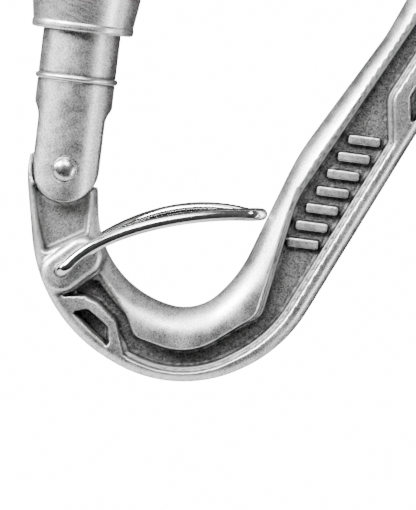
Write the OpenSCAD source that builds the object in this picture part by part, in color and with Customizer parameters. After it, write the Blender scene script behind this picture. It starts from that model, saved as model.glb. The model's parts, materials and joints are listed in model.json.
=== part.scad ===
// Pear-shaped locking carabiner with a wire keeper across its narrow end.
// The carabiner hangs in the XZ plane: +Z up, the wide end on top, +Y through its thickness.
// The origin is the highest point of the inside of the wide end, where a rope or sling bears.

/* [Frame] */
// Thickness of the bar through its rails
frame_t = 9.2; // [8.4:0.1:9.4]
// Thickness of the web between the two faces' pockets
web_t = 4; // [3.6:0.1:4.2]
// Width of the outer rail round the narrow end
low_rail = 2.1; // [1.8:0.1:2.3]
// Width of the outer rail along the spine and the wide end
high_rail = 2.4; // [2:0.1:3]
// Width of the inner rail round the wide end
seat_rail = 3.6; // [3:0.1:4.5]
// Height of the raised bars above the pocket's floor
bar_height = 0.9; // [0.4:0.1:1.5]

/* [Gate] */
// Lean of the gate's axis from upright, in degrees
gate_lean = 12.6; // [12.4:0.1:12.8]
// Diameter of the gate's barrel
barrel_d = 11.1; // [10.9:0.1:11.1]
// Width across the cheeks at the foot of the gate
cheek_w = 9.5; // [9:0.1:9.5]
// Distance from the hinge pin to the tip of the gate
gate_length = 53.5; // [53.3:0.1:53.5]
// Diameter of the hinge pin's shaft
pin_d = 2.6; // [2.4:0.1:2.8]
// Diameter of the hinge pin's domed heads
pin_head_d = 3.6; // [3.2:0.1:3.6]

/* [Collar] */
// Largest diameter of the locking collar
collar_d = 16; // [15.6:0.1:16.6]
// Diameter of the collar at its lower lip
lip_d = 14.6; // [14:0.1:14.8]
// Height of the collar's lower lip above the hinge pin
collar_foot = 19.6; // [19.6:0.1:20.1]
// Length of the collar: at rest its top is just below the gate's key, so that the gate can open
collar_length = 29.1; // [28.3:0.1:29.1]
// Number of grip flutes round the collar
flutes = 12; // [8:1:16]
// Height of the stop ring above the hinge pin
stop_height = 12.9; // [12.5:0.1:13.2]

/* [Keeper] */
// Diameter of the keeper's wire
wire_d = 1.8; // [1.6:0.1:1.9]
// Sideways position of the keeper's legs where they pass the frame
leg_y = 6.8; // [6.7:0.05:7]
// Half the distance between the legs at the keeper's tip
tip_y = 1.9; // [1.6:0.1:2.2]

/* [Hidden] */
$fn = 72;

running = 0.03;     // radial clearance of a pin in its bore
arc_step = 6;       // degrees between the points of an arc in an outline
small_arc_step = 20;  // the same, on the arcs of small radius
small_arc_r = 4;
over = 1;           // how far a cutter runs past what it cuts
face_y = frame_t / 2;
web_y = web_t / 2;
barrel_r = barrel_d / 2;
stub_r = 5.5;       // radius of the frame's round nose stub
stub_w = 11.2;      // width of the bar just above the stub
stub_foot = gate_length + 0.5;
stub_top = 60.5;    // where the nose stub ends along the gate's axis

// A point x across and s along the gate, measured from the hinge pin
function on_gate(x, s) = [x * cos(gate_lean) - s * sin(gate_lean),
                          x * sin(gate_lean) + s * cos(gate_lean)];

// Outline corners are [x, z, radius], measured from the hinge pin, anticlockwise round the bar
gate_side = [-5.1, -2.1, 16];
narrow_left = [3.4, -21.1, 22.3];
narrow_right = [25.5, -25.9, 19.5];
spine_foot = [37.9, -14, 20.9];
right_shoulder = [56.9, 75.2, 23.8];
crown = [13.2, 96.5, 46];
left_shoulder = concat(on_gate(-stub_w / 2, 72), 22.2);
seat_left = concat(on_gate(stub_w / 2, 65), 11);
seat_crown = [14.3, 83.1, 34.6];
seat_right = [43.1, 69.1, 12.2];
spine_waist = [36.8, 33.3, 21.7];
OUTLINE = [
    [-5.8, 2.6, 1.4], gate_side, narrow_left, narrow_right, spine_foot, right_shoulder, crown,
    left_shoulder, concat(on_gate(-stub_w / 2, stub_foot), 1.4),
    concat(on_gate(stub_w / 2, stub_foot), 1.4),
    seat_left, seat_crown, seat_right, spine_waist, [30.6, 12.9, 32.9], [28.4, -6.4, 18.7],
    [24.5, -13.2, 7.1], [10.1, -14, 14.2], [5.2, -0.9, 1.4]
];

// The bar's edges step in towards its faces: [inset of the outline, half thickness]
EDGE_STEPS = [[0, face_y - 1.3], [0.45, face_y - 0.5], [1.3, face_y]];

// The pocket on each face: the outer rail's edge from the hinge side round to the wide end, then back
POCKET = [
    [4.9, -17.5, 0.15], [8.6, -16.1, 1], [10.8, -16.4, 1], [14, -18, 1], [16.6, -22.2, 0.5],
    [25.6, -24.1, 15],
    inset_corner(narrow_right, spine_foot, right_shoulder, low_rail),
    [42.9, 19, 1.5], [40.6, 25, 2.5], [43.6, 37.5, 3], [48, 45, 3],
    inset_corner(spine_foot, right_shoulder, crown, high_rail),
    inset_corner(right_shoulder, crown, left_shoulder, high_rail),
    [-10.5, 73.5, 1], [-7.8, 70.6, 1],
    inset_corner(seat_left, seat_crown, seat_right, seat_rail),
    inset_corner(seat_crown, seat_right, spine_waist, seat_rail),
    [39.2, 35.5, 20], [31.8, 7, 14], [32.6, -10.5, 3], [25.5, -19.3, 9], [17.2, -19.2, 2],
    [15.2, -16.6, 1.5], [9.5, -12.3, 0.3], [6.95, -16, 1]
];

// Shallow pocket between the gate's cheek and the keeper's boss
HINGE_POCKET = [
    [-3.9, -3.4, 0.4], [-1.9, -7.6, 2], [1.1, -12.4, 0.6], [6.2, -7.6, 0.6], [4.9, -1.7, 0.3]
];
hinge_pocket_y = 2.6;

// Blind windows, one in the narrow end and one in the spine
WINDOWS = [
    [[7.7, -18.8, 0.2], [10.9, -20.4, 4], [14.4, -22, 0.3], [13.3, -19.1, 0.5], [9.6, -17.6, 1.2]],
    [[42.7, 26, 0.5], [44.4, 21.8, 0.4], [48.6, 39.5, 0.4], [44.9, 35.5, 2]]
];
window_y = 1.4;

// Middles of the raised bars in the spine's pocket, and their size
BARS = [[35.4, 1.2], [35.8, 3.9], [36.4, 6.7], [37, 9.5], [37.6, 12.3], [38.2, 15.1], [38.8, 17.9]];
bar_w = 4.6;
bar_d = 1.3;
bar_lean = -12;

// Hinge
tang_y = web_y;
slot_y = tang_y + 0.2;
slot_top = 6.2;
recess_r = cheek_w / 2 + 0.08;
TANG = [
    [-4.6, -4, 0.5], [4.2, -4, 0.5], [3.9, 1.4, 1.5], [2.8, 3.6, 0.2], [-2.8, 3.6, 1.2], [-3.9, 1.2, 1.5]
];
tang_top = 3.6;
mill_top = 7.6;     // where the cheeks' flats run out into the round barrel
head_seat_y = 5.2;
head_sphere_r = 1.9;
head_top_y = 6.65;

// Spring and plunger in the barrel's bore
bore_r = 1.7;
bore_top = 24.2;
plunger_r = 1.6;
plunger_foot = tang_top + 0.02;
plunger_top = 8.5;
spring_wire_r = 0.25;
spring_r = 1.3;
spring_turns = 11;
spring_sides = 6;
spring_steps = 10;

// Keyed nose: a tongue with a wide head, in a slot that opens on the gate's outer side
tongue_x = 3.6;
tongue_y = 1.2;
head_y = 2.4;
HEAD_SPAN = [stub_foot - 4.4, stub_foot - 2.4];
slot_gap = 0.35;
slot_wall_x = tongue_x + 0.25;

// Collar bore: lands that run on the barrel, and a relief that clears the nose stub
land_r = barrel_r + 0.08;
relief_r = 5.95;
GROOVE = [44, 45.6];
groove_r = 7.15;
ring_tube_r = 0.74;
ring_r = barrel_r + 0.05 + ring_tube_r;
flute_r = 1.3;
flute_depth = 0.45;

// Stop ring of wire
stop_wire_r = 0.45;
stop_r = barrel_r - 0.1;
stop_gap = 20;      // degrees of the ring that are open

// Keeper: pivot hole, and where its legs and tip run, measured from the hinge pin
keeper_hole = [4.3, -13.8];
BOSS = [[4.3, -14.1], [6.5, -10.9]];
boss_r = 2.85;
boss_y = 5.5;
wire_r = wire_d / 2;
elbow_r = leg_y - boss_y;
leg_start_angle = 57;
FRONT_LEG = [[7.4, leg_y, -6.6], [18.4, 5.4, 0.1]];
BACK_LEG = [[6.9, leg_y, -9.1], [14.1, 5.4, 1.4]];
tip_x = 28.5;
tip_z = 3.1;
tip_angle = 21;
wire_sides = 10;

// Where the seat is, measured from the hinge pin: the top of the seat's arc
SEAT = arc_centre(seat_left, seat_crown, seat_right) + [0, seat_crown[2]];

// --- outlines ---
function flat(c) = [c[0], c[1]];
function unit(v) = v / norm(v);
function left_of(v) = [-v[1], v[0]];
function cross2(u, w) = u[0] * w[1] - u[1] * w[0];
function side_of(u, w) = cross2(u, w) >= 0 ? 1 : -1;
function bend_of(u, w) = acos(max(-1, min(1, u * w)));

// Centre of the arc that rounds corner b between its neighbours a and c
function arc_centre(a, b, c) =
    let (u = unit(flat(b) - flat(a)), w = unit(flat(c) - flat(b)))
    flat(b) - u * b[2] * tan(bend_of(u, w) / 2) + side_of(u, w) * b[2] * left_of(u);

// The points of that arc, moved inwards by inset
function arc_points(a, b, c, inset) =
    let (u = unit(flat(b) - flat(a)), w = unit(flat(c) - flat(b)), side = side_of(u, w),
         bend = bend_of(u, w), from = -side * left_of(u), start = atan2(from[1], from[0]),
         steps = max(2, ceil(bend / (b[2] < small_arc_r ? small_arc_step : arc_step))),
         centre = arc_centre(a, b, c))
    [for (k = [0:steps]) let (t = start + side * bend * k / steps)
        centre + (b[2] - side * inset) * [cos(t), sin(t)]];

// A closed outline with its corners rounded
function rounded(corners, inset = 0) =
    let (n = len(corners))
    [for (i = [0:n - 1])
        each arc_points(corners[(i + n - 1) % n], corners[i], corners[(i + 1) % n], inset)];

// Corner b moved inwards by d, so that its arc keeps its centre
function inset_corner(a, b, c, d) =
    let (u = unit(flat(b) - flat(a)), w = unit(flat(c) - flat(b)), m = left_of(u), n = left_of(w),
         moved = flat(b) + d * (m + n) / (1 + m * n))
    [moved[0], moved[1], b[2] - side_of(u, w) * d];

// --- sweeps ---
// A point on a cubic curve with the four control points q
function cubic(q, t) =
    pow(1 - t, 3) * q[0] + 3 * t * pow(1 - t, 2) * q[1] + 3 * t * t * (1 - t) * q[2] + pow(t, 3) * q[3];

// A closed tube of radius r along the points p
module tube(p, r, sides) {
    n = len(p);
    heading = [for (i = [0:n - 1]) unit(p[min(i + 1, n - 1)] - p[max(i - 1, 0)])];
    rings = carried(heading, 0, across(heading[0]));
    polyhedron(
        points = [for (i = [0:n - 1], k = [0:sides - 1]) let (t = 360 * k / sides)
            p[i] + r * (cos(t) * rings[i] + sin(t) * cross(heading[i], rings[i]))],
        faces = concat(
            [[for (k = [0:sides - 1]) k]],
            [[for (k = [0:sides - 1]) n * sides - 1 - k]],
            [for (i = [0:n - 2], k = [0:sides - 1]) let (a = i * sides, m = (k + 1) % sides)
                [a + m, a + k, a + sides + k, a + sides + m]]));
}
// A direction square to v
function across(v) = unit(cross(v, abs(v[1]) < 0.9 ? [0, 1, 0] : [1, 0, 0]));
// The direction u carried along the headings without twist
function carried(heading, i, u) =
    let (v = unit(u - (u * heading[i]) * heading[i]))
    i == len(heading) - 1 ? [v] : concat([v], carried(heading, i + 1, v));

// --- placing ---
// Draws an outline of the XZ plane as a plate of half thickness y, about the hinge pin
module plate(points, y) {
    rotate([90, 0, 0]) linear_extrude(2 * y, center = true) polygon(points);
}

// The same plate on both faces, from depth y to past the face
module both_faces(points, y) {
    for (side = [-1, 1]) translate([0, side * (y + 10), 0]) plate(points, 10);
}

// Places what is drawn about the hinge pin
module from_hinge() { translate([-SEAT[0], 0, -SEAT[1]]) children(); }

// Places what is drawn along +Z from the hinge pin on the gate's axis
module along_gate() { from_hinge() rotate([0, -gate_lean, 0]) children(); }

// A cylinder through the thickness at a point of the XZ plane
module crosswise(at, r, y) {
    translate([at[0], 0, at[1]]) rotate([90, 0, 0]) cylinder(r = r, h = 2 * y, center = true);
}

// --- the sub-parts ---
module frame() {
    color("silver") {
        difference() {
            union() {
                from_hinge() for (step = EDGE_STEPS) plate(rounded(OUTLINE, step[0]), step[1]);
                from_hinge() boss();
            }
            from_hinge() {
                both_faces(rounded(POCKET), web_y);
                both_faces(rounded(HINGE_POCKET), hinge_pocket_y);
                for (window = WINDOWS) both_faces(rounded(window), window_y);
                for (side = [-1, 1]) {
                    translate([0, side * (tang_y + 10), 0]) crosswise([0, 0], recess_r, 10);
                }
                crosswise(keeper_hole, wire_r + running, face_y + over + 1);
            }
            along_gate() {
                tang_cut();
                nose_trim();
            }
        }
        difference() {
            along_gate() plate(rounded(TANG), tang_y);
            from_hinge() crosswise([0, 0], pin_d / 2 + running, tang_y + over);
        }
        along_gate() tongue();
        from_hinge() raised_bars();
    }
}

// Raised oval pads that carry the keeper's pivot hole
module boss() {
    along = boss_r * unit(BOSS[1] - BOSS[0]);
    corners = [BOSS[0] - along + left_of(along), BOSS[0] - along - left_of(along),
               BOSS[1] + along - left_of(along), BOSS[1] + along + left_of(along)];
    plate(rounded([for (c = corners) concat(c, boss_r - 0.05)]), boss_y);
}

// Clears the hinge for the gate's cheeks, where only the tang stands
module tang_cut() {
    tang_gap_y = tang_y + over;
    translate([-recess_r, -tang_gap_y, -2.2]) cube([2 * recess_r, 2 * tang_gap_y, 12]);
    translate([-recess_r, -face_y - over, 0]) cube([2 * recess_r, frame_t + 2 * over, 10]);
}

// Turns the nose stub round, so that the collar can slide over it
module nose_trim() {
    difference() {
        translate([-10, -10, stub_foot - over]) cube([20, 20, stub_top - stub_foot + over]);
        translate([0, 0, stub_foot - 2 * over]) cylinder(r = stub_r, h = stub_top - stub_foot + 4 * over);
    }
}

// The key below the nose: a narrow neck and a wide head
module tongue() {
    translate([-tongue_x, -tongue_y, HEAD_SPAN[1] - over])
        cube([2 * tongue_x, 2 * tongue_y, stub_foot - HEAD_SPAN[1] + 2 * over]);
    translate([-tongue_x, -head_y, HEAD_SPAN[0]])
        cube([2 * tongue_x, 2 * head_y, HEAD_SPAN[1] - HEAD_SPAN[0]]);
}

// Plain raised bars across the spine's pocket
module raised_bars() {
    for (at = BARS, side = [-1, 1])
        translate([at[0], side * (web_y + bar_height / 2 - 0.1), at[1]]) rotate([0, bar_lean, 0])
            cube([bar_w, bar_height + 0.2, bar_d], center = true);
}

module gate() {
    color("gainsboro") along_gate() difference() {
        union() {
            translate([0, 0, mill_top]) cylinder(r = barrel_r, h = gate_length - mill_top);
            intersection() {
                translate([0, 0, -cheek_w]) cylinder(r = barrel_r, h = mill_top + cheek_w + 0.1);
                union() {
                    rotate([90, 0, 0]) cylinder(r = cheek_w / 2, h = barrel_d + 2, center = true);
                    translate([-cheek_w / 2, -barrel_r - over, 0])
                        cube([cheek_w, barrel_d + 2 * over, mill_top + 0.1]);
                }
            }
        }
        translate([-barrel_r - over, -slot_y, -cheek_w])
            cube([barrel_d + 2 * over, 2 * slot_y, cheek_w + slot_top]);
        cylinder(r = bore_r, h = bore_top);
        rotate([90, 0, 0]) cylinder(r = pin_d / 2 + running, h = barrel_d + 2, center = true);
        for (side = [-1, 1]) translate([0, side * (head_seat_y + 2), 0])
            rotate([90, 0, 0]) cylinder(r = pin_head_d / 2 + 0.08, h = 4, center = true);
        translate([-barrel_r - over, -tongue_y - slot_gap, HEAD_SPAN[0] - slot_gap])
            cube([barrel_r + over + slot_wall_x, 2 * (tongue_y + slot_gap), 8]);
        translate([-barrel_r - over, -head_y - slot_gap, HEAD_SPAN[0] - slot_gap])
            cube([barrel_r + over + slot_wall_x, 2 * (head_y + slot_gap),
                  HEAD_SPAN[1] - HEAD_SPAN[0] + 2 * slot_gap]);
        translate([0, 0, stop_height - stop_wire_r - running]) difference() {
            cylinder(r = barrel_r + over, h = 2 * (stop_wire_r + running));
            translate([0, 0, -over])
                cylinder(r = stop_r - stop_wire_r - running, h = 2 * (stop_wire_r + over));
        }
    }
}

module hinge_pin() {
    color("lightgray") from_hinge() {
        crosswise([0, 0], pin_d / 2, head_seat_y + 0.1);
        for (side = [-1, 1]) intersection() {
            translate([0, side * (head_top_y - head_sphere_r), 0]) sphere(r = head_sphere_r);
            translate([0, side * (head_seat_y + 1.02), 0]) rotate([90, 0, 0])
                cylinder(r = pin_head_d / 2, h = 2, center = true);
        }
    }
}

module gate_spring() {
    turns = spring_turns * spring_steps;
    low = plunger_top + spring_wire_r + 0.05;
    high = bore_top - spring_wire_r - 0.05;
    color("slategray") along_gate() tube(
        [for (i = [0:turns]) let (a = 360 * i / spring_steps)
            [spring_r * cos(a), spring_r * sin(a), low + (high - low) * i / turns]],
        spring_wire_r, spring_sides);
}

module spring_plunger() {
    color("darkgray") along_gate() translate([0, 0, plunger_foot])
        cylinder(r = plunger_r, h = plunger_top - plunger_foot);
}

module locking_collar() {
    top = collar_foot + collar_length;
    body_r = collar_d / 2;
    color("silver") along_gate() difference() {
        rotate_extrude() polygon([
            [land_r, collar_foot + 0.5], [land_r + 0.4, collar_foot], [lip_d / 2 - 0.5, collar_foot],
            [lip_d / 2 - 0.15, collar_foot + 0.15], [lip_d / 2, collar_foot + 0.5],
            [lip_d / 2 + 0.45, collar_foot + 3.8], [body_r, collar_foot + 7.2], [body_r, top - 4],
            [body_r - 0.5, top - 0.4], [body_r - 0.9, top], [relief_r + 0.4, top], [relief_r, top - 0.4],
            [relief_r, GROOVE[1] + 1], [land_r, GROOVE[1] + 1], [land_r, GROOVE[1]], [groove_r, GROOVE[1]],
            [groove_r, GROOVE[0]], [land_r, GROOVE[0]], [land_r, 34], [relief_r, 34],
            [relief_r, collar_foot + 4], [land_r, collar_foot + 4]
        ]);
        for (k = [0:flutes - 1]) rotate(360 * (k + 0.5) / flutes)
            translate([body_r - flute_depth + flute_r, 0, collar_foot + 9.5])
                cylinder(r = flute_r, h = collar_length - 15.5);
    }
}

module collar_friction_ring() {
    color("dimgray") along_gate() translate([0, 0, (GROOVE[0] + GROOVE[1]) / 2])
        rotate_extrude() translate([ring_r, 0]) circle(r = ring_tube_r);
}

module collar_stop_ring() {
    color("whitesmoke") along_gate() translate([0, 0, stop_height]) rotate(90 + stop_gap / 2)
        rotate_extrude(angle = 360 - stop_gap) translate([stop_r, 0]) circle(r = stop_wire_r);
}

// The keeper's centre line on one side, from inside its pivot hole to the middle of its tip
function keeper_half(side, leg) =
    let (along = [cos(leg_start_angle), sin(leg_start_angle)], out = [cos(tip_angle), sin(tip_angle)],
         foot = keeper_hole + elbow_r * along, tip = [tip_x, tip_z] - tip_y * out)
    concat(
        [[keeper_hole[0], side * (boss_y - 0.4), keeper_hole[1]]],
        [for (t = [0:22.5:90]) let (q = keeper_hole + elbow_r * (1 - cos(t)) * along)
            [q[0], side * (leg_y - elbow_r + elbow_r * sin(t)), q[1]]],
        [for (k = [1:18])
            let (q = cubic([[foot[0], leg_y, foot[1]], leg[0], leg[1], [tip[0], tip_y, tip[1]]], k / 18))
            [q[0], side * q[1], q[2]]],
        [for (t = [18:18:72]) let (q = tip + tip_y * sin(t) * out) [q[0], side * tip_y * cos(t), q[1]]]);

module keeper_wire() {
    front = keeper_half(-1, FRONT_LEG);
    back = keeper_half(1, BACK_LEG);
    color("white") from_hinge() {
        tube(concat(front, [[tip_x, 0, tip_z]], [for (i = [len(back) - 1:-1:0]) back[i]]),
             wire_r - 0.02, wire_sides);
        for (side = [-1, 1]) translate([keeper_hole[0], side * (boss_y - 1.9), keeper_hole[1]])
            rotate([90, 0, 0]) cylinder(r = wire_r, h = 3.4, center = true);
    }
}

frame();
gate();
hinge_pin();
gate_spring();
spring_plunger();
locking_collar();
collar_friction_ring();
collar_stop_ring();
keeper_wire();
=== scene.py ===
import json
import math

import bpy
import numpy as np
from mathutils import Matrix, Vector


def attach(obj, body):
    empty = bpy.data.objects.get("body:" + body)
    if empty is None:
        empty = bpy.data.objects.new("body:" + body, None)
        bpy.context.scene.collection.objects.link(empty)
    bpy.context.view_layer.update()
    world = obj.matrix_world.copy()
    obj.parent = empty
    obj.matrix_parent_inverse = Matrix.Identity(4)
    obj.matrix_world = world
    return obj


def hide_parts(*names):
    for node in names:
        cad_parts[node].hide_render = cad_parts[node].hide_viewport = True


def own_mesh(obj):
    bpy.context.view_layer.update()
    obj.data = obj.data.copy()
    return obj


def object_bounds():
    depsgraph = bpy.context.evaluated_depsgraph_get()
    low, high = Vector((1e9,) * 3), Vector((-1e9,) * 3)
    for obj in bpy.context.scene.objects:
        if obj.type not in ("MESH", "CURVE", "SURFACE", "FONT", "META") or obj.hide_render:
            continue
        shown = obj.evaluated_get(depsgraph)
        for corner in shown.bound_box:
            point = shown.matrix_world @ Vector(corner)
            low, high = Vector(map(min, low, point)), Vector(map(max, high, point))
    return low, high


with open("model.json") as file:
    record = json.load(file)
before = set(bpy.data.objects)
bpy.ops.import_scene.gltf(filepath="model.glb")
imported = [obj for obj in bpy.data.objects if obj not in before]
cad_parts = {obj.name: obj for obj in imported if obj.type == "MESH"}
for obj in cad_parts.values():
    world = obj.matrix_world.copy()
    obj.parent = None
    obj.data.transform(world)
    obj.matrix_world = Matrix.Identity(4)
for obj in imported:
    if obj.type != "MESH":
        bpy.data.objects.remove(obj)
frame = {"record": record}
cad_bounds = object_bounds()

# The pieces are drawn in millimetres from the hinge pin, in the CAD frame's directions:
# x from the gate to the spine, y through the thickness, z up towards the wide end.
JOINTS = {joint["name"]: joint for joint in frame["record"]["behaviour"]["joints"]}
HINGE = np.array(JOINTS["gate_pivot"]["pos_m"])
GATE_AXIS = np.array(JOINTS["collar_travel"]["axis"])
LEAN = math.atan2(-GATE_AXIS[0], GATE_AXIS[2])

# Half thicknesses: the bar, its web between the pockets, the ledge in the pockets,
# the floor of the hinge pocket and the floor of the windows
FACE_Y = 4.6
WEB_Y = 2.0
LEDGE_Y = 3.65
HINGE_FLOOR_Y = 2.6
WINDOW_FLOOR_Y = 1.4
# Width of the ledge
LEDGE_W = 0.62

# Edge rounding of the bar, and widths of the rails beside the pocket
INNER_ROUND = 4.3
OUTER_ROUND = 1.7
LOW_RAIL = 2.1
HIGH_RAIL = 2.4
SEAT_RAIL = 3.6

# Nose and gate: radii and widths, and heights along the gate from the hinge pin
STUB_R = 5.5
STUB_W = 11.2
STUB_FOOT = 54.0
STUB_TOP = 60.5
KEY_HALF_W = 3.6
GATE_LENGTH = 53.5
BARREL_R = 5.55
CHEEK_R = 4.75
RECESS_R = 4.83
PIN_HOLE_R = 1.33
RING_S = 12.9
COLLAR_FOOT = 19.6
SPRING_TOP = 24.15


def on_gate(x, s):
    """The point x across and s along the gate, in x and z."""
    return (x * math.cos(LEAN) - s * math.sin(LEAN), x * math.sin(LEAN) + s * math.cos(LEAN))


# Outline corners are (x, z, radius), anticlockwise round the bar
GATE_SIDE = (-5.1, -2.1, 16)
NARROW_LEFT = (3.4, -21.1, 22.3)
NARROW_RIGHT = (25.5, -25.9, 19.5)
SPINE_FOOT = (37.9, -14, 20.9)
RIGHT_SHOULDER = (56.9, 75.2, 23.8)
CROWN = (13.2, 96.5, 46)
LEFT_SHOULDER = (*on_gate(-STUB_W / 2, 72), 22.2)
SEAT_LEFT = (*on_gate(STUB_W / 2, 65), 11)
SEAT_CROWN = (14.3, 83.1, 34.6)
SEAT_RIGHT = (43.1, 69.1, 12.2)
SPINE_WAIST = (36.8, 33.3, 21.7)
OUTER_SIDE = [
    (-5.8, 2.6, 1.4), GATE_SIDE, NARROW_LEFT, NARROW_RIGHT, SPINE_FOOT, RIGHT_SHOULDER, CROWN,
    LEFT_SHOULDER, (*on_gate(-STUB_W / 2, STUB_FOOT), 1.4),
]
INNER_SIDE = [
    (*on_gate(STUB_W / 2, STUB_FOOT), 1.4), SEAT_LEFT, SEAT_CROWN, SEAT_RIGHT, SPINE_WAIST,
    (30.6, 12.9, 32.9), (28.4, -6.4, 18.7), (24.5, -13.2, 7.1), (10.1, -14, 14.2), (5.2, -0.9, 1.2),
]
HINGE_POCKET = [
    (-3.9, -3.4, 0.4), (-1.9, -7.6, 2), (1.1, -12.4, 0.6), (6.2, -7.6, 0.6), (4.9, -1.7, 0.3),
]
WINDOWS = [
    [(7.7, -18.8, 0.2), (10.9, -20.4, 4), (14.4, -22, 0.3), (13.3, -19.1, 0.5), (9.6, -17.6, 1.2)],
    [(42.7, 26, 0.5), (44.4, 21.8, 0.4), (48.6, 39.5, 0.4), (44.9, 35.5, 2)],
]
BARS = [(35.4, 1.2), (35.8, 3.9), (36.4, 6.7), (37, 9.5), (37.6, 12.3), (38.2, 15.1), (38.8, 17.9)]
TANG = [
    (-4.6, -4, 0.5), (4.2, -4, 0.5), (3.9, 1.4, 1.5), (2.8, 3.6, 0.2), (-2.8, 3.6, 1.2), (-3.9, 1.2, 1.5),
]
KEEPER_HOLE = (4.3, -13.8)
KEEPER_TIP = (28.5, 3.1)
BOSS = ((4.3, -14.1), (6.5, -10.9))
BOSS_R = 2.85
BOSS_Y = 5.5
BAR_HALF_W = 2.3
BAR_HALF_D = 0.65
BAR_RISE = 0.9


# --- outlines ---
def unit(v):
    return v / np.linalg.norm(v)


def left_of(v):
    return np.array([-v[1], v[0]])


def moved_in(a, b, c, inset):
    """Corner b moved inwards so that its arc keeps its centre."""
    u = unit(np.subtract(b[:2], a[:2]))
    w = unit(np.subtract(c[:2], b[:2]))
    m, n = left_of(u), left_of(w)
    side = 1 if u[0] * w[1] - u[1] * w[0] >= 0 else -1
    place = np.array(b[:2]) + inset * (m + n) / (1 + m @ n)
    return (place[0], place[1], b[2] - side * inset)


def rounded(corners, step=4):
    """The closed outline through the corners, with each one rounded."""
    points = []
    for i, b in enumerate(corners):
        a, c = corners[i - 1], corners[(i + 1) % len(corners)]
        u = unit(np.subtract(b[:2], a[:2]))
        w = unit(np.subtract(c[:2], b[:2]))
        side = 1 if u[0] * w[1] - u[1] * w[0] >= 0 else -1
        bend = math.acos(max(-1, min(1, u @ w)))
        centre = np.array(b[:2]) - u * b[2] * math.tan(bend / 2) + side * b[2] * left_of(u)
        start = -side * left_of(u)
        first = math.atan2(start[1], start[0])
        count = max(3, math.ceil(math.degrees(bend) / step))
        for k in range(count + 1):
            t = first + side * bend * k / count
            points.append(centre + b[2] * np.array([math.cos(t), math.sin(t)]))
    return np.array(points)


POCKET = [
    (4.9, -17.5, 0.15), (8.6, -16.1, 1), (10.8, -16.4, 1), (14, -18, 1), (16.6, -22.2, 0.5),
    (25.6, -24.1, 15),
    moved_in(NARROW_RIGHT, SPINE_FOOT, RIGHT_SHOULDER, LOW_RAIL),
    (42.9, 19, 1.5), (40.6, 25, 2.5), (43.6, 37.5, 3), (48, 45, 3),
    moved_in(SPINE_FOOT, RIGHT_SHOULDER, CROWN, HIGH_RAIL),
    moved_in(RIGHT_SHOULDER, CROWN, LEFT_SHOULDER, HIGH_RAIL),
    (-10.5, 73.5, 1), (-7.8, 70.6, 1),
    moved_in(SEAT_LEFT, SEAT_CROWN, SEAT_RIGHT, SEAT_RAIL),
    moved_in(SEAT_CROWN, SEAT_RIGHT, SPINE_WAIST, SEAT_RAIL),
    (39.2, 35.5, 20), (31.8, 7, 14), (32.6, -10.5, 3), (25.5, -19.3, 9), (17.2, -19.2, 2),
    (15.2, -16.6, 1.5), (9.5, -12.3, 0.3), (6.95, -16, 1),
]


# --- distance fields ---
def polygon_distance(points, x, z, closed=True):
    """Distance from each (x, z) to the polygon, negative inside it when it is closed."""
    ends = np.roll(points, -1, axis=0)
    if not closed:
        points, ends = points[:-1], ends[:-1]
    best = np.full(x.shape, 1e9)
    inside = np.zeros(x.shape, bool)
    for (ax, az), (bx, bz) in zip(points, ends):
        ex, ez = bx - ax, bz - az
        length = ex * ex + ez * ez
        if length < 1e-12:
            continue
        px, pz = x - ax, z - az
        t = np.clip((px * ex + pz * ez) / length, 0, 1)
        best = np.minimum(best, (px - t * ex) ** 2 + (pz - t * ez) ** 2)
        if closed and ez != 0:
            crosses = (az <= z) != (bz <= z)
            inside ^= crosses & (px < (z - az) * ex / ez)
    distance = np.sqrt(best)
    return np.where(inside, -distance, distance) if closed else distance


class Plan:
    """A function of x and z kept on a fine grid, and read between its points."""

    def __init__(self, make, low, high, step=0.2):
        self.low, self.step = np.array(low, float), step
        xs = np.arange(low[0], high[0] + step, step)
        zs = np.arange(low[1], high[1] + step, step)
        gx, gz = np.meshgrid(xs, zs, indexing="ij")
        self.values = make(gx, gz)

    def __call__(self, x, z):
        i = np.clip((x - self.low[0]) / self.step, 0, self.values.shape[0] - 1.001)
        k = np.clip((z - self.low[1]) / self.step, 0, self.values.shape[1] - 1.001)
        i0, k0 = i.astype(int), k.astype(int)
        fi, fz = i - i0, k - k0
        v = self.values
        return (
            v[i0, k0] * (1 - fi) * (1 - fz)
            + v[i0 + 1, k0] * fi * (1 - fz)
            + v[i0, k0 + 1] * (1 - fi) * fz
            + v[i0 + 1, k0 + 1] * fi * fz
        )


def join(a, b, k):
    """Union of two fields with a fillet of about k."""
    h = np.clip(0.5 + 0.5 * (b - a) / k, 0, 1)
    return b + (a - b) * h - k * h * (1 - h)


def cut(a, b, k):
    """Field a with b taken away, and its edge rounded by about k."""
    return -join(-a, b, k)


def meet(a, b, k):
    """Where both fields are inside, with the edge rounded by about k."""
    return -join(-a, -b, k)


def smooth(t):
    t = np.clip(t, 0, 1)
    return t * t * (3 - 2 * t)


def plate(flat, y, half, r):
    """A plate of the flat field, half thickness half, with edges rounded by r."""
    a = flat + r
    b = np.abs(y) - half + r
    return np.minimum(np.maximum(a, b), 0) + np.hypot(np.maximum(a, 0), np.maximum(b, 0)) - r


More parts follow.
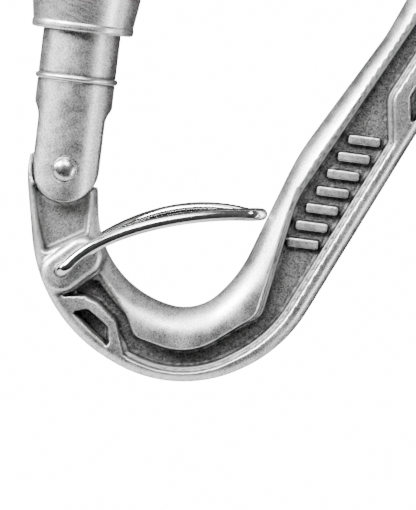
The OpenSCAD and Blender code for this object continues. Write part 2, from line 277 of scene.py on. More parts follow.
# --- meshes ---
def net(field, xs, ys, zs):
    """Mesh of the field's surface on the grid: points, quads and outward normals."""
    gx, gy, gz = np.meshgrid(xs, ys, zs, indexing="ij")
    values = field(gx, gy, gz)
    solid = values < 0
    corners = [(i, j, k) for i in (0, 1) for j in (0, 1) for k in (0, 1)]
    nx, ny, nz = (n - 1 for n in values.shape)

    def at(array, c):
        return array[c[0] : c[0] + nx, c[1] : c[1] + ny, c[2] : c[2] + nz]

    filled = sum(at(solid, c).astype(np.int8) for c in corners)
    mixed = (filled > 0) & (filled < 8)
    index = np.full(mixed.shape, -1)
    index[mixed] = np.arange(mixed.sum())
    total = np.zeros((mixed.sum(), 3))
    count = np.zeros(mixed.sum())
    grids = (gx, gy, gz)
    for axis in range(3):
        for c in corners:
            if c[axis]:
                continue
            d = tuple(v + (n == axis) for n, v in enumerate(c))
            va, vb = at(values, c)[mixed], at(values, d)[mixed]
            crosses = (va < 0) != (vb < 0)
            t = np.where(crosses, va / np.where(crosses, va - vb, 1), 0)
            for n in range(3):
                pa, pb = at(grids[n], c)[mixed], at(grids[n], d)[mixed]
                total[:, n] += np.where(crosses, pa + t * (pb - pa), 0)
            count += crosses
    points = total / count[:, None]
    quads = []
    for axis in range(3):
        p, q = [n for n in range(3) if n != axis]
        first = np.take(solid, range(values.shape[axis] - 1), axis)
        second = np.take(solid, range(1, values.shape[axis]), axis)
        change = np.argwhere(first != second)
        keep = (change[:, p] > 0) & (change[:, q] > 0)
        keep &= (change[:, p] < values.shape[p] - 1) & (change[:, q] < values.shape[q] - 1)
        change = change[keep]
        ring = []
        for dp, dq in ((0, 0), (-1, 0), (-1, -1), (0, -1)):
            c = change.copy()
            c[:, p] += dp
            c[:, q] += dq
            ring.append(index[c[:, 0], c[:, 1], c[:, 2]])
        ring = np.stack(ring, 1)
        ahead = first[tuple(change.T)]
        flip = ahead if axis != 1 else ~ahead
        ring[~flip] = ring[~flip][:, ::-1]
        quads.append(ring)
    quads = np.concatenate(quads)
    for _ in range(3):
        value, slope = field(*points.T), gradient(field, points)
        points = points - (value / np.maximum((slope**2).sum(1), 0.2))[:, None] * slope
    slope = gradient(field, points)
    return points, quads.tolist(), slope / np.linalg.norm(slope, axis=1)[:, None]


def gradient(field, points, e=0.06):
    """The field's slope at each point."""
    slope = np.zeros_like(points)
    for n in range(3):
        d = np.zeros(3)
        d[n] = e
        slope[:, n] = (field(*(points + d).T) - field(*(points - d).T)) / (2 * e)
    return slope


def shut_in(field, points, normals, reaches=(0.3, 0.7, 1.5)):
    """How far each point is down in a corner or a groove, from 0 to 1, used to paint shade there."""
    total = 0
    for reach in reaches:
        total = total + np.clip(1 - field(*(points + reach * normals).T) / reach, 0, 1)
    return np.clip(total / len(reaches) * 1.4, 0, 1)


def edge_highlight(field, points, normals, reach=0.6):
    """How sharp an outward edge each point is on, from 0 to 1, used to paint a highlight along the edges.
    """
    return smooth((reach + field(*(points - reach * normals).T)) / (0.6 * reach))


def leaned(points):
    """Points drawn across, through and along the gate, turned into the hinge's frame."""
    x, z = on_gate(points[:, 0], points[:, 2])
    return np.stack([x, points[:, 1], z], 1)


def build(name, points, faces, normals=None, **shades):
    """An object from points in mm from the hinge, with its shade attributes."""
    mesh = bpy.data.meshes.new(name)
    mesh.from_pydata((HINGE + points / 1000).tolist(), [], faces)
    mesh.validate()
    mesh.update()
    mesh.polygons.foreach_set("use_smooth", [True] * len(mesh.polygons))
    if normals is not None:
        mesh.normals_split_custom_set_from_vertices(normals.tolist())
    for key, values in shades.items():
        layer = mesh.attributes.new(key, "FLOAT", "POINT")
        layer.data.foreach_set("value", np.asarray(values, np.float32))
    obj = bpy.data.objects.new(name, mesh)
    bpy.context.scene.collection.objects.link(obj)
    return obj


def lathe(profile, segments, radius_at=None, closed=True):
    """Turns a profile of (radius, height) points about the height's axis."""
    profile = np.array(profile, float)
    angles = np.radians(360 * np.arange(segments) / segments)
    points = []
    for angle in angles:
        r = profile[:, 0] if radius_at is None else radius_at(profile[:, 0], profile[:, 1], angle)
        points.append(np.stack([r * math.cos(angle), r * math.sin(angle), profile[:, 1]], 1))
    n = len(profile)
    faces = []
    for i in range(segments):
        j = (i + 1) % segments
        for k in range(n if closed else n - 1):
            m = (k + 1) % n
            faces.append((i * n + k, j * n + k, j * n + m, i * n + m))
    return np.concatenate(points), faces


def softened(corners, r=0.15, count=4):
    """A closed profile with each corner rounded by at most r."""
    corners = np.array(corners, float)
    points = []
    for i, b in enumerate(corners):
        a, c = corners[i - 1], corners[(i + 1) % len(corners)]
        da, dc = np.linalg.norm(a - b), np.linalg.norm(c - b)
        d = min(r, da * 0.45, dc * 0.45)
        p, q = b + (a - b) / da * d, b + (c - b) / dc * d
        for k in range(count + 1):
            t = k / count
            points.append((1 - t) ** 2 * p + 2 * t * (1 - t) * b + t * t * q)
    return np.array(points)


def tube(path, r, sides, ends=3):
    """A round tube along a path, with rounded ends."""
    path = np.array(path, float)
    heading = np.gradient(path, axis=0)
    heading /= np.linalg.norm(heading, axis=1)[:, None]
    first, last = path[0], path[-1]
    before = [first - heading[0] * r * math.sin(math.pi / 2 * k / ends) for k in range(ends, 0, -1)]
    after = [last + heading[-1] * r * math.sin(math.pi / 2 * k / ends) for k in range(1, ends + 1)]
    radii = [r * math.cos(math.pi / 2 * k / ends) for k in range(ends, 0, -1)]
    widths = np.array(radii + [r] * len(path) + radii[::-1])
    widths = np.maximum(widths, r * 0.05)
    headings = np.concatenate([[heading[0]] * ends, heading, [heading[-1]] * ends])
    spots = np.concatenate([before, path, after])
    across = np.cross(headings[0], (0, 1, 0) if abs(headings[0][1]) < 0.9 else (1, 0, 0))
    points = []
    for spot, ahead, width in zip(spots, headings, widths):
        across = across - (across @ ahead) * ahead
        across /= np.linalg.norm(across)
        other = np.cross(ahead, across)
        for k in range(sides):
            t = 2 * math.pi * k / sides
            points.append(spot + width * (math.cos(t) * across + math.sin(t) * other))
    faces = [tuple(range(sides))[::-1]]
    for i in range(len(spots) - 1):
        for k in range(sides):
            m = (k + 1) % sides
            faces.append((i * sides + k, i * sides + m, (i + 1) * sides + m, (i + 1) * sides + k))
    faces.append(tuple((len(spots) - 1) * sides + k for k in range(sides)))
    return np.array(points), faces


# --- materials ---
class Nodes:
    """Short calls for building a node tree."""

    def __init__(self, name):
        self.material = bpy.data.materials.new(name)
        self.material.use_nodes = True
        self.tree = self.material.node_tree
        self.tree.nodes.clear()
        self.shader = self.tree.nodes.new("ShaderNodeBsdfPrincipled")
        self.shader.inputs["Metallic"].default_value = 1.0
        out = self.tree.nodes.new("ShaderNodeOutputMaterial")
        self.tree.links.new(self.shader.outputs["BSDF"], out.inputs["Surface"])
        self.place = self.tree.nodes.new("ShaderNodeTexCoord").outputs["Object"]

    def link(self, value, socket):
        if isinstance(value, (int, float)):
            socket.default_value = value
        else:
            self.tree.links.new(value, socket)

    def noise(self, scale, detail=3.0, roughness=0.6, stretch=None):
        node = self.tree.nodes.new("ShaderNodeTexNoise")
        node.inputs["Scale"].default_value = scale
        node.inputs["Detail"].default_value = detail
        node.inputs["Roughness"].default_value = roughness
        place = self.place
        if stretch:
            mapping = self.tree.nodes.new("ShaderNodeMapping")
            mapping.inputs["Rotation"].default_value = (0, LEAN, 0)
            mapping.inputs["Scale"].default_value = stretch
            self.tree.links.new(self.place, mapping.inputs["Vector"])
            place = mapping.outputs["Vector"]
        self.tree.links.new(place, node.inputs["Vector"])
        return node.outputs["Fac"]

    def ramp(self, value, low, high, to_low=0.0, to_high=1.0):
        node = self.tree.nodes.new("ShaderNodeMapRange")
        node.interpolation_type = "SMOOTHSTEP"
        for key, v in (("From Min", low), ("From Max", high), ("To Min", to_low), ("To Max", to_high)):
            node.inputs[key].default_value = v
        self.link(value, node.inputs["Value"])
        return node.outputs["Result"]

    def math(self, kind, a, b):
        node = self.tree.nodes.new("ShaderNodeMath")
        node.operation = kind
        self.link(a, node.inputs[0])
        self.link(b, node.inputs[1])
        return node.outputs[0]

    def mix(self, share, a, b):
        """a to b by share, as numbers."""
        node = self.tree.nodes.new("ShaderNodeMix")
        self.link(share, node.inputs["Factor"])
        self.link(a, node.inputs["A"])
        self.link(b, node.inputs["B"])
        return node.outputs["Result"]

    def shade(self, key):
        node = self.tree.nodes.new("ShaderNodeAttribute")
        node.attribute_name = key
        return node.outputs["Fac"]

    def finish(self, grey, roughness, height, strength, distance):
        colour = self.tree.nodes.new("ShaderNodeCombineColor")
        for channel in ("Red", "Green", "Blue"):
            self.link(grey, colour.inputs[channel])
        self.tree.links.new(colour.outputs["Color"], self.shader.inputs["Base Color"])
        self.link(roughness, self.shader.inputs["Roughness"])
        bump = self.tree.nodes.new("ShaderNodeBump")
        bump.inputs["Strength"].default_value = strength
        bump.inputs["Distance"].default_value = distance
        self.link(height, bump.inputs["Height"])
        self.tree.links.new(bump.outputs["Normal"], self.shader.inputs["Normal"])
        return self.material


def forged_metal():
    n = Nodes("tumbled forged aluminium")
    grain = n.noise(4300, 3, 0.75)
    blotch = n.noise(260, 4, 0.65)
    speck = n.ramp(n.noise(4600, 2, 0.6), 0.58, 0.72)
    streak = n.noise(420, 4, 0.7, (2.2, 1, 0.22))
    face = n.math("ADD", n.ramp(grain, 0.33, 0.63, 0.42, 0.97), n.ramp(blotch, 0.35, 0.7, -0.08, 0.06))
    face = n.math("ADD", face, n.ramp(streak, 0.35, 0.65, -0.07, 0.05))
    # Floors of the pockets, hinge pocket and windows are dark grey with bright specks: the darkness is
    # painted shade of the recesses, and their rougher forged finish is set in the roughness below
    hollow = n.math("ADD", n.ramp(grain, 0.35, 0.65, 0.08, 0.32), n.math("MULTIPLY", speck, 0.25))
    grey = n.mix(n.shade("hollow"), face, hollow)
    # Painted highlight: sharp outward edges are lightened towards 0.9
    grey = n.mix(n.math("MULTIPLY", n.shade("edge"), 0.7), grey, 0.9)
    # Painted shade: corners, grooves, the ledge and the boss's lower right flank go nearly black
    grey = n.mix(n.math("MULTIPLY", n.shade("crease"), 0.92), grey, 0.012)
    open_rough = n.ramp(blotch, 0.3, 0.7, 0.32, 0.44)
    hollow_rough = n.ramp(grain, 0.3, 0.7, 0.5, 0.7)
    rough = n.mix(n.shade("hollow"), open_rough, hollow_rough)
    height = n.math("ADD", grain, n.math("MULTIPLY", blotch, 0.8))
    return n.finish(grey, rough, height, 0.32, 0.00004)


def barrel_metal():
    n = Nodes("fine blasted aluminium")
    grain = n.noise(4300, 3, 0.75)
    drawn = n.noise(500, 3, 0.6)
    grey = n.math("ADD", n.ramp(grain, 0.33, 0.65, 0.32, 0.84), n.ramp(drawn, 0.35, 0.65, -0.04, 0.04))
    # Painted shade: darkening in grooves, beside the stop ring and just below the collar's lip
    grey = n.mix(n.shade("crease"), grey, 0.04)
    rough = n.ramp(drawn, 0.3, 0.7, 0.34, 0.43)
    return n.finish(grey, rough, grain, 0.3, 0.000026)


def satin_metal():
    n = Nodes("satin turned aluminium")
    turned = n.noise(2400, 3, 0.6, (0.25, 0.25, 2.5))
    grain = n.noise(4300, 3, 0.75)
    grey = n.math("ADD", n.ramp(grain, 0.33, 0.65, 0.52, 0.99), n.ramp(turned, 0.35, 0.65, -0.12, 0.1))
    rough = n.ramp(turned, 0.3, 0.7, 0.33, 0.42)
    return n.finish(grey, rough, turned, 0.22, 0.00003)


def polished_steel(name, grey_low, grey_high, rough_low, rough_high):
    n = Nodes(name)
    scuff = n.noise(1500, 4, 0.7)
    grain = n.noise(5200, 2, 0.6)
    grey = n.ramp(scuff, 0.3, 0.7, grey_low, grey_high)
    rough = n.ramp(n.math("ADD", scuff, n.math("MULTIPLY", grain, 0.3)), 0.45, 0.85, rough_low, rough_high)
    return n.finish(grey, rough, scuff, 0.03, 0.00001)


def black_rubber():
    n = Nodes("moulded rubber")
    n.shader.inputs["Metallic"].default_value = 0.0
    grain = n.noise(3000, 3, 0.7)
    grey = n.ramp(grain, 0.3, 0.7, 0.02, 0.045)
    rough = n.ramp(grain, 0.3, 0.7, 0.55, 0.75)
    return n.finish(grey, rough, grain, 0.3, 0.00004)


FORGED = forged_metal()
BLASTED = barrel_metal()
SATIN = satin_metal()
RIVET = polished_steel("polished rivet steel", 0.6, 0.74, 0.24, 0.3)
RING_STEEL = polished_steel("drawn ring steel", 0.75, 0.9, 0.3, 0.38)
CHROMED = polished_steel("polished wire steel", 0.75, 0.88, 0.1, 0.17)
SPRING = polished_steel("drawn spring steel", 0.3, 0.42, 0.28, 0.42)
RUBBER = black_rubber()


def fit(obj, material, body, slot, *nodes):
    obj.data.materials.append(material)
    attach(obj, body)
    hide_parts(*nodes)
    return obj


# --- the forged frame ---
PLAN_LOW, PLAN_HIGH = (-20, -28), (58, 98)


def plan(corners):
    outline = rounded(corners)
    return Plan(lambda x, z: polygon_distance(outline, x, z), PLAN_LOW, PLAN_HIGH)


def capsule(x, z, a, b, r):
    """Distance to a stadium of radius r from a to b."""
    ex, ez = b[0] - a[0], b[1] - a[1]
    t = np.clip(((x - a[0]) * ex + (z - a[1]) * ez) / (ex * ex + ez * ez), 0, 1)
    return np.hypot(x - a[0] - t * ex, z - a[1] - t * ez) - r


def bars(x, z):
    """Distance to the raised bars, which have rounded corners."""
    lean, corner = math.radians(12), 0.3
    best = np.full(x.shape, 1e9)
    for cx, cz in BARS:
        u = (x - cx) * math.cos(lean) + (z - cz) * math.sin(lean)
        w = -(x - cx) * math.sin(lean) + (z - cz) * math.cos(lean)
        dx, dz = np.abs(u) - BAR_HALF_W + corner, np.abs(w) - BAR_HALF_D + corner
        outside = np.hypot(np.maximum(dx, 0), np.maximum(dz, 0))
        best = np.minimum(best, outside + np.minimum(np.maximum(dx, dz), 0) - corner)
    return best


outline = plan(OUTER_SIDE + INNER_SIDE)
pocket = plan(POCKET)
hinge_pocket = plan(HINGE_POCKET)
windows = [plan(corners) for corners in WINDOWS]
tang = plan([(*on_gate(x, s), r) for x, s, r in TANG])
bar_plan = Plan(bars, (30, -4), (44, 23), 0.1)
whole = rounded(OUTER_SIDE + INNER_SIDE)
inner_line = rounded(INNER_SIDE + [OUTER_SIDE[0]])[:-4]


def near_bars(x, z):
    return (x > 31) & (x < 43) & (z > -3) & (z < 22)


def below_right_of_boss(x, z):
    """Distance from the boss's middle line, to its lower right side."""
    (ax, az), (bx, bz) = BOSS
    ex, ez = unit(np.array([bx - ax, bz - az]))
    return (x - ax) * ez - (z - az) * ex


def edge_rounds(x, z):
    """Edge rounding: wide on the inside of the bar, small on the outside."""
    inner = polygon_distance(inner_line, x, z, closed=False)
    width = np.abs(polygon_distance(whole, x, z))
    return OUTER_ROUND + (INNER_ROUND - OUTER_ROUND) * smooth(1.15 - (inner - width) / 3.0)


rounds = Plan(edge_rounds, PLAN_LOW, PLAN_HIGH, 0.4)


def window_lip(d):
    """Share of the raised lip round a window, at distance d from its edge."""
    return np.exp(-(((d - 0.55) / 0.35) ** 2))


def with_pockets(body, x, y, z):
    depth = FACE_Y - np.abs(y)
    pocket_d = pocket(x, z)
    floor = WEB_Y + sum(0.4 * window_lip(window(x, z)) for window in windows)
    body = cut(body, meet(pocket_d + 0.12 * depth, LEDGE_Y - np.abs(y), 0.15), 0.25)
    # The ledge follows the outer rail everywhere, and the inner one along the spine and the wide end
    high = smooth((z + 13) / 3) * np.maximum(smooth((x - 24) / 3), smooth((z - 30) / 6))
    ledge = LEDGE_W * np.maximum(smooth((4.2 + outline(x, z)) / 1.2), high)
    body = cut(body, meet(pocket_d + ledge + 0.1 * depth, floor - np.abs(y), 0.3), 0.15)
    hinge_d = 0.96 * (hinge_pocket(x, z) + 0.25 * depth)
    body = cut(body, meet(hinge_d, HINGE_FLOOR_Y - np.abs(y), 0.5), 0.3)
    for window in windows:
        body = cut(body, meet(window(x, z) + 0.1 * depth, WINDOW_FLOOR_Y - np.abs(y), 0.3), 0.15)
    return body


def with_tang(body, x, y, z, across, along):
    """The recess for the gate's cheeks, the tang between them and the pin's hole."""
    body = cut(body, meet(np.hypot(x, z) - RECESS_R, WEB_Y - np.abs(y), 0.2), 0.15)
    middle = np.maximum(np.abs(across) - 4.85, np.abs(y) - 3.0)
    body = cut(body, np.maximum(middle, np.abs(along - 3.8) - 6.0), 0.15)
    body = cut(body, np.maximum(np.abs(across) - RECESS_R, np.abs(along - 5) - 5), 0.15)
    body = join(body, meet(tang(x, z), np.abs(y) - WEB_Y, 0.3), 0.1)
    return cut(body, np.hypot(x, z) - PIN_HOLE_R, 0.1)


def with_nose(body, y, across, along):
    """The round stub above the gate, and the key below it: a thin neck and a wider head."""
    reach = np.hypot(across, y)
    beyond = np.maximum(np.abs(across) - 10, np.maximum(along - STUB_TOP, STUB_FOOT - 1 - along))
    body = cut(body, np.maximum(STUB_R - reach, beyond), 0.25)
    side = np.abs(across) - KEY_HALF_W
    neck = np.maximum(np.maximum(side, np.abs(y) - 1.2), np.abs(along - STUB_FOOT + 1.2) - 2.2)
    head = np.maximum(np.maximum(side, np.abs(y) - 2.4), np.abs(along - STUB_FOOT + 3.4) - 1.0)
    return join(body, meet(np.minimum(neck, head), reach - STUB_R + 0.1, 0.1), 0.12)


def frame_field(x, y, z):
    body = plate(outline(x, z), y, FACE_Y, rounds(x, z))
    body = with_pockets(body, x, y, z)
    marks = meet(bar_plan(x, z), np.abs(y) - WEB_Y - BAR_RISE, 0.2)
    body = join(body, np.where(near_bars(x, z), marks, 5.0), 0.15)
    body = join(body, plate(capsule(x, z, *BOSS, BOSS_R), y, BOSS_Y, 1.1), 0.2)
    across = x * math.cos(LEAN) + z * math.sin(LEAN)
    along = -x * math.sin(LEAN) + z * math.cos(LEAN)
    body = with_tang(body, x, y, z, across, along)
    body = cut(body, np.hypot(x - KEEPER_HOLE[0], z - KEEPER_HOLE[1]) - 0.93, 0.12)
    return with_nose(body, y, across, along)


def spaced(stops):
    """Grid coordinates from (end, step) stretches, the first entry being the start."""
    values = [stops[0]]
    for end, step in stops[1:]:
        count = max(1, round((end - values[-1]) / step))
        values += list(np.linspace(values[-1], end, count + 1)[1:])
    return np.array(values)


def make_frame():
    xs = spaced([-19.4, (-7, 0.5), (54.6, 0.37)])
    ys = spaced([-5.9, (5.9, 0.39)])
    zs = spaced([-25.2, (40, 0.36), (89.2, 0.52)])
    points, quads, normals = net(frame_field, xs, ys, zs)
    x, y, z = points.T
    depth = FACE_Y - np.abs(y)
    in_pocket = smooth((0.35 - pocket(x, z)) / 0.5) * smooth((depth - 0.35) / 0.9)
    by_hinge = smooth((0.3 - hinge_pocket(x, z)) / 0.5) * smooth((depth - 0.3) / 0.7)
    mark = smooth((0.15 - bar_plan(x, z)) / 0.2) * (np.abs(y) > WEB_Y + 0.55) * near_bars(x, z)
    lip = sum(window_lip(w(x, z)) for w in windows) * (np.abs(y) > WEB_Y + 0.1)
    in_window = sum(smooth((0.1 - w(x, z)) / 0.25) for w in windows) * (np.abs(y) < WEB_Y)
    # Painted shade: the floors of the pockets, hinge pocket and windows are marked for a dark colour, less
    # on the raised bars and window lips; the same mask gives those floors a rougher forged finish
    hollow = np.maximum(in_pocket, 0.85 * by_hinge) * (1 - 0.95 * mark) * (1 - 0.7 * np.clip(lip, 0, 1))
    hollow = np.maximum(hollow, in_window)
    # Painted shade: a dark line along the ledge, the boss's lower right flank, and corners and grooves
    on_ledge = smooth((0.5 - np.abs(pocket(x, z) + 0.42)) / 0.2) * smooth((depth - 0.5) / 0.3)
    flank = smooth((0.75 - np.abs(capsule(x, z, *BOSS, BOSS_R + 0.1))) / 0.5)
    flank = flank * smooth(below_right_of_boss(x, z) - 1.5) * smooth((5.1 - np.abs(y)) / 0.3)
    crease = np.maximum(shut_in(frame_field, points, normals), 0.85 * flank)
    crease = np.maximum(crease, 0.55 * on_ledge * (np.abs(y) > 3.2))
    # Painted highlight along sharp outward edges
    edge = edge_highlight(frame_field, points, normals)
    return build("forged_frame", points, quads, normals, hollow=hollow, crease=crease, edge=edge)


fit(make_frame(), FORGED, "frame", "frame_metal", "frame")


# --- the gate ---
MILL_FOOT = 6.7
MILL_R = 3.4


def gate_field(x, y, s):
    """The gate, across, through and along: barrel, cheeks, bores, keyhole slot and ring groove."""
    reach = np.hypot(x, y)
    rise = np.clip(s - MILL_FOOT, 0, MILL_R - 0.01)
    half = CHEEK_R + MILL_R - np.sqrt(MILL_R**2 - rise**2)
    sides = np.where(s > 0, np.abs(x) - half, np.hypot(x, s) - CHEEK_R)
    body = meet(reach - BARREL_R, sides, 0.35)
    body = meet(body, s - GATE_LENGTH, 0.3)
    body = cut(body, np.maximum(np.abs(y) - 2.2, s - 6.2), 0.2)
    body = cut(body, np.maximum(reach - 1.7, s - 24.2), 0.1)
    body = cut(body, np.hypot(x, s) - PIN_HOLE_R, 0.1)
    body = cut(body, np.maximum(np.hypot(x, s) - 1.78, 5.2 - np.abs(y)), 0.12)
    neck = np.maximum(np.abs(y) - 1.55, 49.25 - s)
    head = np.maximum(np.abs(y) - 2.75, np.abs(s - 50.6) - 1.35)
    body = cut(body, np.maximum(np.minimum(neck, head), x - 3.85), 0.15)
    groove = np.maximum(np.abs(s - RING_S) - 0.45, 4.97 - reach)
    return cut(body, groove, 0.12)


def make_gate():
    xs = spaced([-5.9, (5.9, 0.26)])
    zs = spaced([-5.2, (0, 0.26), (12, 0.26), (13.8, 0.12), (48, 0.4), (54, 0.26)])
    points, quads, normals = net(gate_field, xs, xs, zs)
    # Painted shade in corners and grooves and in bands beside the stop ring, and a painted shadow just
    # below the collar's lip
    crease = shut_in(gate_field, points, normals, (0.2, 0.45, 0.9))
    reach, s = np.hypot(points[:, 0], points[:, 1]), points[:, 2]
    crease = np.maximum(crease, 0.7 * smooth((1.0 - np.abs(s - RING_S)) / 0.5) * (reach > 5))
    crease = np.maximum(crease, 0.4 * smooth((s - COLLAR_FOOT + 1.7) / 1.8) * (reach > 5))
    return build("gate_barrel", leaned(points), quads, leaned(normals), crease=crease)


fit(make_gate(), BLASTED, "gate", "gate_metal", "gate")


# --- turned pieces ---
def make_collar():
    """The screw sleeve: a flared foot with a lip, grip flutes, and the ring's groove in its bore."""
    foot, top, body = COLLAR_FOOT, 48.7, 8.0
    land, relief, groove = 5.63, 5.95, 7.15
    profile = softened([
        (land, foot + 0.6), (land + 0.5, foot), (6.7, foot), (7.15, foot + 0.1), (7.3, foot + 0.4),
        (7.3, foot + 0.95), (7.2, foot + 1.2), (7.64, foot + 4.2), (body, foot + 7.2), (body, top - 4),
        (body - 0.5, top - 0.4), (body - 0.9, top), (relief + 0.4, top), (relief, top - 0.4),
        (relief, 46.6), (land, 46.6), (land, 45.6), (groove, 45.6), (groove, 44), (land, 44),
        (land, 34), (relief, 34), (relief, foot + 4), (land, foot + 4),
    ], 0.22)
    dense = []
    for a, b in zip(profile, np.roll(profile, -1, axis=0)):
        steps = max(1, int(np.linalg.norm(b - a) / 0.7))
        dense += [a + (b - a) * k / steps for k in range(steps)]
    centre, flute = 8.85, 1.3

    def radius_at(r, s, angle):
        turn = (math.degrees(angle) - 15) % 30
        off = centre * math.sin(math.radians(min(turn, 30 - turn)))
        if off >= flute:
            return r
        wall = centre * math.cos(math.asin(off / centre)) - math.sqrt(flute**2 - off**2)
        ends = np.minimum(smooth((s - foot - 9.0) / 1.6), smooth((foot + 23.9 - s) / 1.6))
        sunk = wall + (1 - ends) * (r - wall)
        return np.where((r > 7.4) & (ends > 0), np.minimum(r, sunk), r)

    points, faces = lathe(dense, 360, radius_at)
    return build("locking_collar", leaned(points), faces)


fit(make_collar(), SATIN, "collar", "collar_metal", "locking_collar")


def make_pin():
    """The rivet: a plain shank with a low dome at each end."""
    head_r, head_y, dome = 1.78, 5.4, 1.24
    half = [(1.3, 0), (1.3, 5.25), (head_r - 0.04, 5.27), (head_r, 5.33), (head_r, head_y)]
    for t in np.linspace(0.08, math.pi / 2 - 0.03, 20):
        half.append((head_r * math.cos(t), head_y + dome * math.sin(t)))
    profile = [(r, -s) for r, s in half[::-1]] + half[1:]
    sides, n = 64, len(profile)
    points, faces = lathe(profile, sides, closed=False)
    points = np.stack([points[:, 0], points[:, 2], -points[:, 1]], 1)
    faces.append(tuple(i * n for i in range(sides))[::-1])
    faces.append(tuple(i * n + n - 1 for i in range(sides)))
    return build("hinge_rivet", points, faces)


fit(make_pin(), RIVET, "gate", "rivet_steel", "hinge_pin")


def make_stop_ring():
    """The snap ring, with its gap at the back."""
    ring_r, wire_r = 5.45, 0.45
    angles = np.radians(np.linspace(104, 436, 140))
    path = [ring_r * np.cos(angles), ring_r * np.sin(angles), np.full(angles.shape, RING_S)]
    points, faces = tube(np.stack(path, 1), wire_r, 20)
    return build("stop_ring", leaned(points), faces)


fit(make_stop_ring(), RING_STEEL, "gate", "wire_steel", "collar_stop_ring")


def make_friction_ring():
    ring_r, ring_s, section_r = 6.34, 44.8, 0.74
    turns = np.linspace(0, 2 * math.pi, 21)[:-1]
    profile = np.stack([ring_r + section_r * np.cos(turns), ring_s + section_r * np.sin(turns)], 1)
    points, faces = lathe(profile, 120)
    return build("friction_ring", leaned(points), faces)


fit(make_friction_ring(), RUBBER, "collar_carrier", "ring_rubber", "collar_friction_ring")


def make_plunger():
    profile = softened([(0.02, 3.62), (1.6, 3.62), (1.6, 8.5), (0.02, 8.5)], 0.25)
    points, faces = lathe(profile, 48)
    return build("spring_plunger", leaned(points), faces)


fit(make_plunger(), SPRING, "plunger", "spring_steel", "spring_plunger")


def make_spring():
    turns, coil_r, wire_r = 11, 1.3, 0.25
    low, high = 8.8, SPRING_TOP - wire_r
    angles = np.linspace(0, 2 * math.pi * turns, turns * 24 + 1)
    path = [coil_r * np.cos(angles), coil_r * np.sin(angles), np.linspace(low, high, len(angles))]
    points, faces = tube(np.stack(path, 1), wire_r, 12, 2)
    return build("gate_spring", leaned(points), faces)


gate_spring = fit(make_spring(), SPRING, "gate", "spring_steel", "gate_spring")
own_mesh(gate_spring)


# --- the keeper ---
def cubic(q, t):
    """The point at t on the curve with the four control points q."""
    q = np.array(q, float)
    return (1 - t) ** 3 * q[0] + 3 * t * (1 - t) ** 2 * q[1] + 3 * t * t * (1 - t) * q[2] + t**3 * q[3]


def keeper_half(side, leg):
    """The wire's centre line on one side, from inside its pivot hole to near its tip."""
    wide, elbow, tip_half = 6.8, 1.3, 1.9
    start, turn = math.radians(57), math.radians(21)
    along = np.array([math.cos(start), math.sin(start)])
    out = np.array([math.cos(turn), math.sin(turn)])
    hole = np.array(KEEPER_HOLE)
    foot = hole + elbow * along
    tip = np.array(KEEPER_TIP) - tip_half * out
    points = [(hole[0], side * y, hole[1]) for y in (3.4, 4.3)]
    for t in np.linspace(0, math.pi / 2, 9):
        q = hole + elbow * (1 - math.cos(t)) * along
        points.append((q[0], side * (wide - elbow + elbow * math.sin(t)), q[1]))
    ends = [(foot[0], wide, foot[1]), leg[0], leg[1], (tip[0], tip_half, tip[1])]
    for k in range(1, 49):
        q = cubic(ends, k / 48)
        points.append((q[0], side * q[1], q[2]))
    for t in np.linspace(0, math.pi / 2, 10)[1:-1]:
        q = tip + tip_half * math.sin(t) * out
        points.append((q[0], side * tip_half * math.cos(t), q[1]))
    return points


def make_keeper():
    front = keeper_half(-1, [(7.4, 6.8, -6.6), (18.4, 5.4, 0.1)])
    back = keeper_half(1, [(6.9, 6.8, -9.1), (14.1, 5.4, 1.4)])
    middle = (KEEPER_TIP[0], 0, KEEPER_TIP[1])
    points, faces = tube(front + [middle] + back[::-1], 0.89, 28)
    return build("keeper_wire", points, faces)


fit(make_keeper(), CHROMED, "keeper", "wire_steel", "keeper_wire")


# --- floor, light and camera ---
# Radiance that the view transform shows as white
WHITE = 16.0

# Soft boxes: name, place, width and height, power
LIGHTS = [
    ("key", (-0.74, -0.52, 0.3), (0.45, 0.5), 5.2),
    ("over", (-0.12, -0.72, 0.55), (0.6, 0.3), 1.5),
    ("rim", (-0.95, -0.1, 0.05), (0.3, 0.5), 1.8),
    ("streak", (0.78, -0.36, -0.08), (0.06, 0.7), 0.7),
    ("top", (-0.3, -0.35, 0.75), (0.6, 0.3), 0.6),
]


def make_floor():
    """A pale floor 0.2 m below the object, which hangs above it."""
    lowest = cad_bounds[0].z
    bpy.ops.mesh.primitive_plane_add(size=0.8, location=(0, 0.27, lowest - 0.2))
    floor = bpy.context.object
    floor.name = "floor"
    n = Nodes("pale floor")
    n.shader.inputs["Metallic"].default_value = 0.0
    grey = n.ramp(n.noise(60, 3, 0.5), 0.3, 0.7, 0.82, 0.86)
    floor.data.materials.append(n.finish(grey, 0.7, n.noise(900, 2, 0.5), 0.05, 0.0001))


def add_light(name, place, size, power):
    """A soft box of size width by height, aimed at the lower half of the object."""
    light = bpy.data.lights.new(name, "AREA")
    light.shape = "RECTANGLE"
    light.spread = math.radians(70)
    light.size, light.size_y = size
    light.energy = power
    obj = bpy.data.objects.new(name, light)
    obj.location = place
    target = HINGE + np.array([0.018, 0, 0.005])
    obj.rotation_euler = (Vector(target) - Vector(place)).to_track_quat("-Z", "Y").to_euler()
    bpy.context.scene.collection.objects.link(obj)


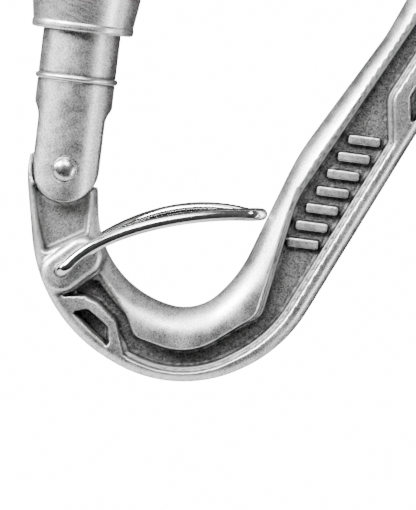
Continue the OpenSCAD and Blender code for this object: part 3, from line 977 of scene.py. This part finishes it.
def make_world():
    """White straight behind the object, and dim elsewhere, so that the metal has dark reflections."""
    world = bpy.data.worlds.new("studio")
    world.use_nodes = True
    bpy.context.scene.world = world
    tree = world.node_tree
    tree.nodes.clear()
    out = tree.nodes.new("ShaderNodeOutputWorld")
    background = tree.nodes.new("ShaderNodeBackground")
    place = tree.nodes.new("ShaderNodeTexCoord")
    split = tree.nodes.new("ShaderNodeSeparateXYZ")
    tree.links.new(place.outputs["Generated"], split.inputs["Vector"])
    back = tree.nodes.new("ShaderNodeMapRange")
    back.interpolation_type = "SMOOTHSTEP"
    for key, v in (("From Min", 0.99), ("From Max", 0.9945), ("To Min", 0.0), ("To Max", 1.0)):
        back.inputs[key].default_value = v
    tree.links.new(split.outputs["Y"], back.inputs["Value"])
    up = tree.nodes.new("ShaderNodeMapRange")
    for key, v in (("From Min", -0.7), ("From Max", 0.7), ("To Min", 0.01), ("To Max", 0.12)):
        up.inputs[key].default_value = v
    tree.links.new(split.outputs["Z"], up.inputs["Value"])
    mix = tree.nodes.new("ShaderNodeMix")
    tree.links.new(back.outputs["Result"], mix.inputs["Factor"])
    tree.links.new(up.outputs["Result"], mix.inputs["A"])
    mix.inputs["B"].default_value = WHITE
    tree.links.new(mix.outputs["Result"], background.inputs["Color"])
    tree.links.new(background.outputs["Background"], out.inputs["Surface"])


def make_camera():
    """A long lens nearly square to the flat side, rolled, and aimed at the narrow end from above."""
    roll = math.radians(19.5)
    distance, view_height = 0.9, 0.072857
    right = np.array([math.cos(roll), 0, math.sin(roll)])
    up = np.array([-math.sin(roll), 0, math.cos(roll)])
    aim = HINGE + (20.29 * right - 12.43 * up) / 1000
    place = HINGE + (26.3 * right + 24.6 * up) / 1000 + np.array([0, -distance, 0])
    back = unit(place - aim)
    side = unit(np.cross(up, back))
    top = np.cross(back, side)
    data = bpy.data.cameras.new("camera")
    data.sensor_width = 36
    data.lens = data.sensor_width * np.linalg.norm(place - aim) / view_height
    data.clip_start, data.clip_end = 0.05, 20
    camera = bpy.data.objects.new("camera", data)
    camera.matrix_world = Matrix([
        [side[0], top[0], back[0], place[0]],
        [side[1], top[1], back[1], place[1]],
        [side[2], top[2], back[2], place[2]],
        [0, 0, 0, 1],
    ])
    bpy.context.scene.collection.objects.link(camera)
    bpy.context.scene.camera = camera


make_floor()
make_world()
for light in LIGHTS:
    add_light(*light)
make_camera()
